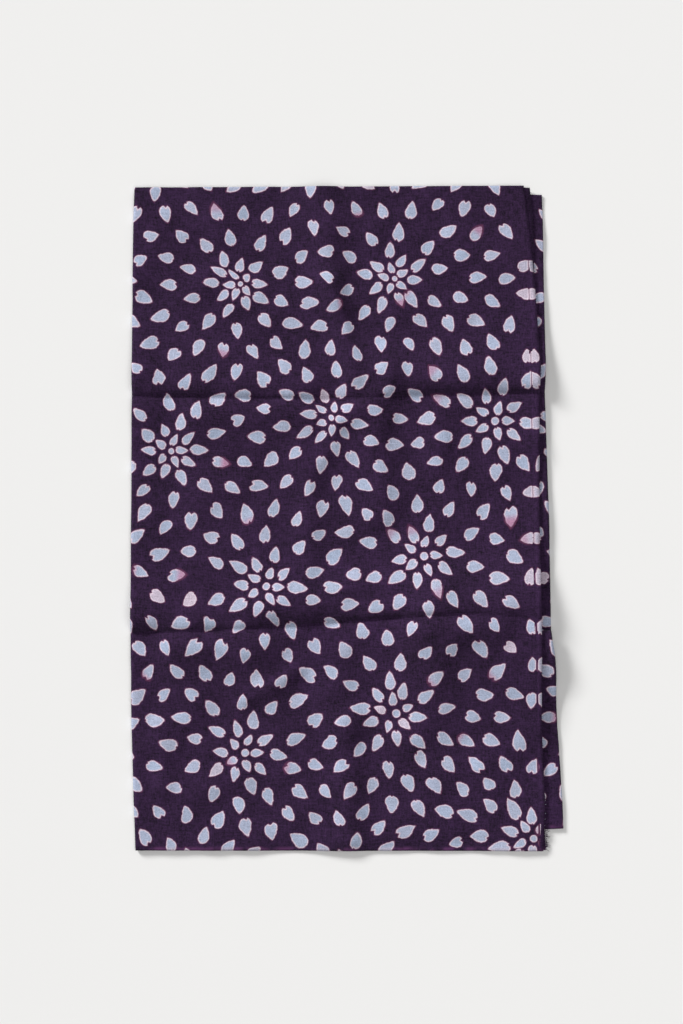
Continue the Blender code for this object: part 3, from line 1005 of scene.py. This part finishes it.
bump = node(tree, "ShaderNodeBump", BUMP_STRENGTH, BUMP_HEIGHT)
tree.links.new(weave.outputs["Height"], bump.inputs["Height"])
tree.links.new(bump.outputs[0], shader.inputs["Normal"])
shader.inputs["Roughness"].default_value = 0.92
shader.inputs["Specular IOR Level"].default_value = 0.15
shader.inputs["Sheen Weight"].default_value = 0.06
shader.inputs["Sheen Roughness"].default_value = 0.5
cloth_mesh.materials.append(cotton)
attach(cloth, "root")
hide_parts("towel")

# THE LOOSE YARN ENDS
# Each end of the towel is simply cut, so short ends of yarn stand out of it, purple or undyed,
# and the corner at the lower right has begun to fray.
YARN_RADIUS = 0.075
YARN_POINTS = 4
YARN_ROOT = 0.3
YARN_ROOT_RISE = 0.05
YARN_SPACINGS = (0.4, 1.6)
YARN_TURN_DRIFT = 0.35
YARN_SINK = 0.08
YARN_SHADES_SCALE = 600.0
YARN_ENDS = (
    # piece, cut end, from, to, spacing, shortest, longest, curl
    ("purple_yarn_ends", "end_a", 1.0, 359.5, 1.5, 0.3, 0.9, 0.5),
    ("purple_yarn_ends", "end_b", 1.0, 359.5, 2.0, 0.3, 0.9, 0.5),
    ("purple_yarn_ends", "end_b", 330.0, 359.5, 0.7, 0.8, 2.4, 1.2),
    ("purple_yarn_ends", "end_b", 349.0, 359.8, 0.5, 1.2, 3.4, 1.8),
    ("purple_yarn_ends", "end_a", 350.0, 359.8, 0.6, 0.8, 2.8, 1.4),
    ("pale_yarn_ends", "end_a", 240.4, 240.6, 1.0, 0.8, 0.9, 1.6),
    ("pale_yarn_ends", "end_b", 322.0, 345.0, 2.0, 0.5, 1.1, 0.8),
    ("pale_yarn_ends", "end_a", 330.0, 349.0, 3.0, 0.3, 0.7, 0.6),
)
YARN_COLOURS = {
    "purple_yarn_ends": ((0.022, 0.010, 0.032), (0.055, 0.028, 0.070)),
    "pale_yarn_ends": ((0.330, 0.400, 0.540), (0.640, 0.600, 0.680)),
}

yarns = {}
for name in YARN_COLOURS:
    yarns[name] = bpy.data.curves.new(name, "CURVE")
    yarns[name].dimensions = "3D"
    yarns[name].bevel_depth = YARN_RADIUS * MM
    yarns[name].bevel_resolution = 0
    yarns[name].use_fill_caps = True
end_stations = {"end_a": 0, "end_b": stations - 1}
for name, end, start, stop, spacing, shortest, longest, curl in YARN_ENDS:
    edge = places[end_stations[end]] / MM
    at = start
    while at < stop:
        root = np.array([np.interp(at, row_downs, edge[:, axis]) for axis in range(3)])
        at += spacing * draw.uniform(*YARN_SPACINGS)
        length = draw.uniform(shortest, longest)
        turn = draw.normal(0.0, YARN_TURN_DRIFT)
        bend = draw.normal(0.0, curl)
        point = root + (-YARN_ROOT, 0.0, draw.uniform(-YARN_ROOT_RISE, YARN_ROOT_RISE))
        spline = yarns[name].splines.new("POLY")
        spline.points.add(YARN_POINTS - 1)
        for index in range(YARN_POINTS):
            spline.points[index].co = (*(point * MM), 1.0)
            step = YARN_ROOT if index == 0 else length / (YARN_POINTS - 2)
            heading = turn + bend * index / YARN_POINTS
            point = point + step * np.array([math.cos(heading), math.sin(heading), -YARN_SINK])

for name, curve in yarns.items():
    drawn = bpy.data.objects.new(name + "_curve", curve)
    bpy.context.scene.collection.objects.link(drawn)
    bpy.context.view_layer.update()
    graph = bpy.context.evaluated_depsgraph_get()
    yarn_mesh = bpy.data.meshes.new_from_object(drawn.evaluated_get(graph))
    bpy.data.objects.remove(drawn, do_unlink=True)
    yarn_mesh.shade_smooth()
    yarn = bpy.data.objects.new(name, yarn_mesh)
    bpy.context.scene.collection.objects.link(yarn)
    dark, light = YARN_COLOURS[name]
    material = bpy.data.materials.new(name)
    material.use_nodes = True
    yarn_tree = material.node_tree
    place = yarn_tree.nodes.new("ShaderNodeTexCoord").outputs["Object"]
    shade = blended(yarn_tree, noise_at(yarn_tree, place, YARN_SHADES_SCALE), dark, light)
    yarn_shader = yarn_tree.nodes["Principled BSDF"]
    yarn_tree.links.new(shade, yarn_shader.inputs["Base Color"])
    yarn_shader.inputs["Roughness"].default_value = 0.95
    yarn_shader.inputs["Specular IOR Level"].default_value = 0.1
    yarn_mesh.materials.append(material)
    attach(yarn, "root")

# THE TABLE, THE LIGHT AND THE CAMERA
# A plain pale table top, one broad soft light from the upper left with a weaker one high up at
# the lower right, and the camera almost straight above the towel's middle, looking down.
TABLE_HALF = 3.0
TABLE_COLOUR = (0.825, 0.82, 0.81, 1.0)
bm = bmesh.new()
bmesh.ops.create_grid(bm, x_segments=1, y_segments=1, size=TABLE_HALF)
table_mesh = bpy.data.meshes.new("table_top")
bm.to_mesh(table_mesh)
bm.free()
table_top = bpy.data.objects.new("table_top", table_mesh)
bpy.context.scene.collection.objects.link(table_top)
paper = bpy.data.materials.new("pale_paper")
paper.use_nodes = True
paper_shader = paper.node_tree.nodes["Principled BSDF"]
paper_shader.inputs["Base Color"].default_value = TABLE_COLOUR
paper_shader.inputs["Roughness"].default_value = 0.9
paper_shader.inputs["Specular IOR Level"].default_value = 0.1
table_mesh.materials.append(paper)

LIGHTS = (
    # name, distance, elevation, azimuth, size, power
    ("window", 14.0, 28.0, 135.0, 4.2, 2140.0),
    ("overhead", 2.5, 77.0, 320.0, 2.0, 29.4),
)
for name, distance, elevation, azimuth, size, power in LIGHTS:
    light_data = bpy.data.lights.new(name, "AREA")
    light_data.size = size
    light_data.energy = power
    light = bpy.data.objects.new(name, light_data)
    flat_distance = math.cos(math.radians(elevation))
    direction = Vector(
        (
            flat_distance * math.cos(math.radians(azimuth)),
            flat_distance * math.sin(math.radians(azimuth)),
            math.sin(math.radians(elevation)),
        )
    )
    light.location = direction * distance
    light.rotation_euler = direction.to_track_quat("Z", "Y").to_euler()
    light.visible_camera = False
    bpy.context.scene.collection.objects.link(light)

world = bpy.data.worlds.new("studio")
bpy.context.scene.world = world
world.use_nodes = True
SKY_STRENGTH = 0.17
sky = world.node_tree.nodes["Background"]
sky.inputs["Color"].default_value = (1.0, 1.0, 1.0, 1.0)
sky.inputs["Strength"].default_value = SKY_STRENGTH

VIEW_HEIGHT = 0.5552
CAMERA_DISTANCE = 1.6
CAMERA_PLACE = (-0.003, 0.0035)
camera_data = bpy.data.cameras.new("camera")
camera_data.sensor_fit = "VERTICAL"
camera_data.sensor_height = 24.0
camera_data.lens = camera_data.sensor_height * CAMERA_DISTANCE / VIEW_HEIGHT
camera = bpy.data.objects.new("camera", camera_data)
camera.location = (*CAMERA_PLACE, CAMERA_DISTANCE)
bpy.context.scene.collection.objects.link(camera)
bpy.context.scene.camera = camera
bpy.context.scene.view_settings.view_transform = "Standard"
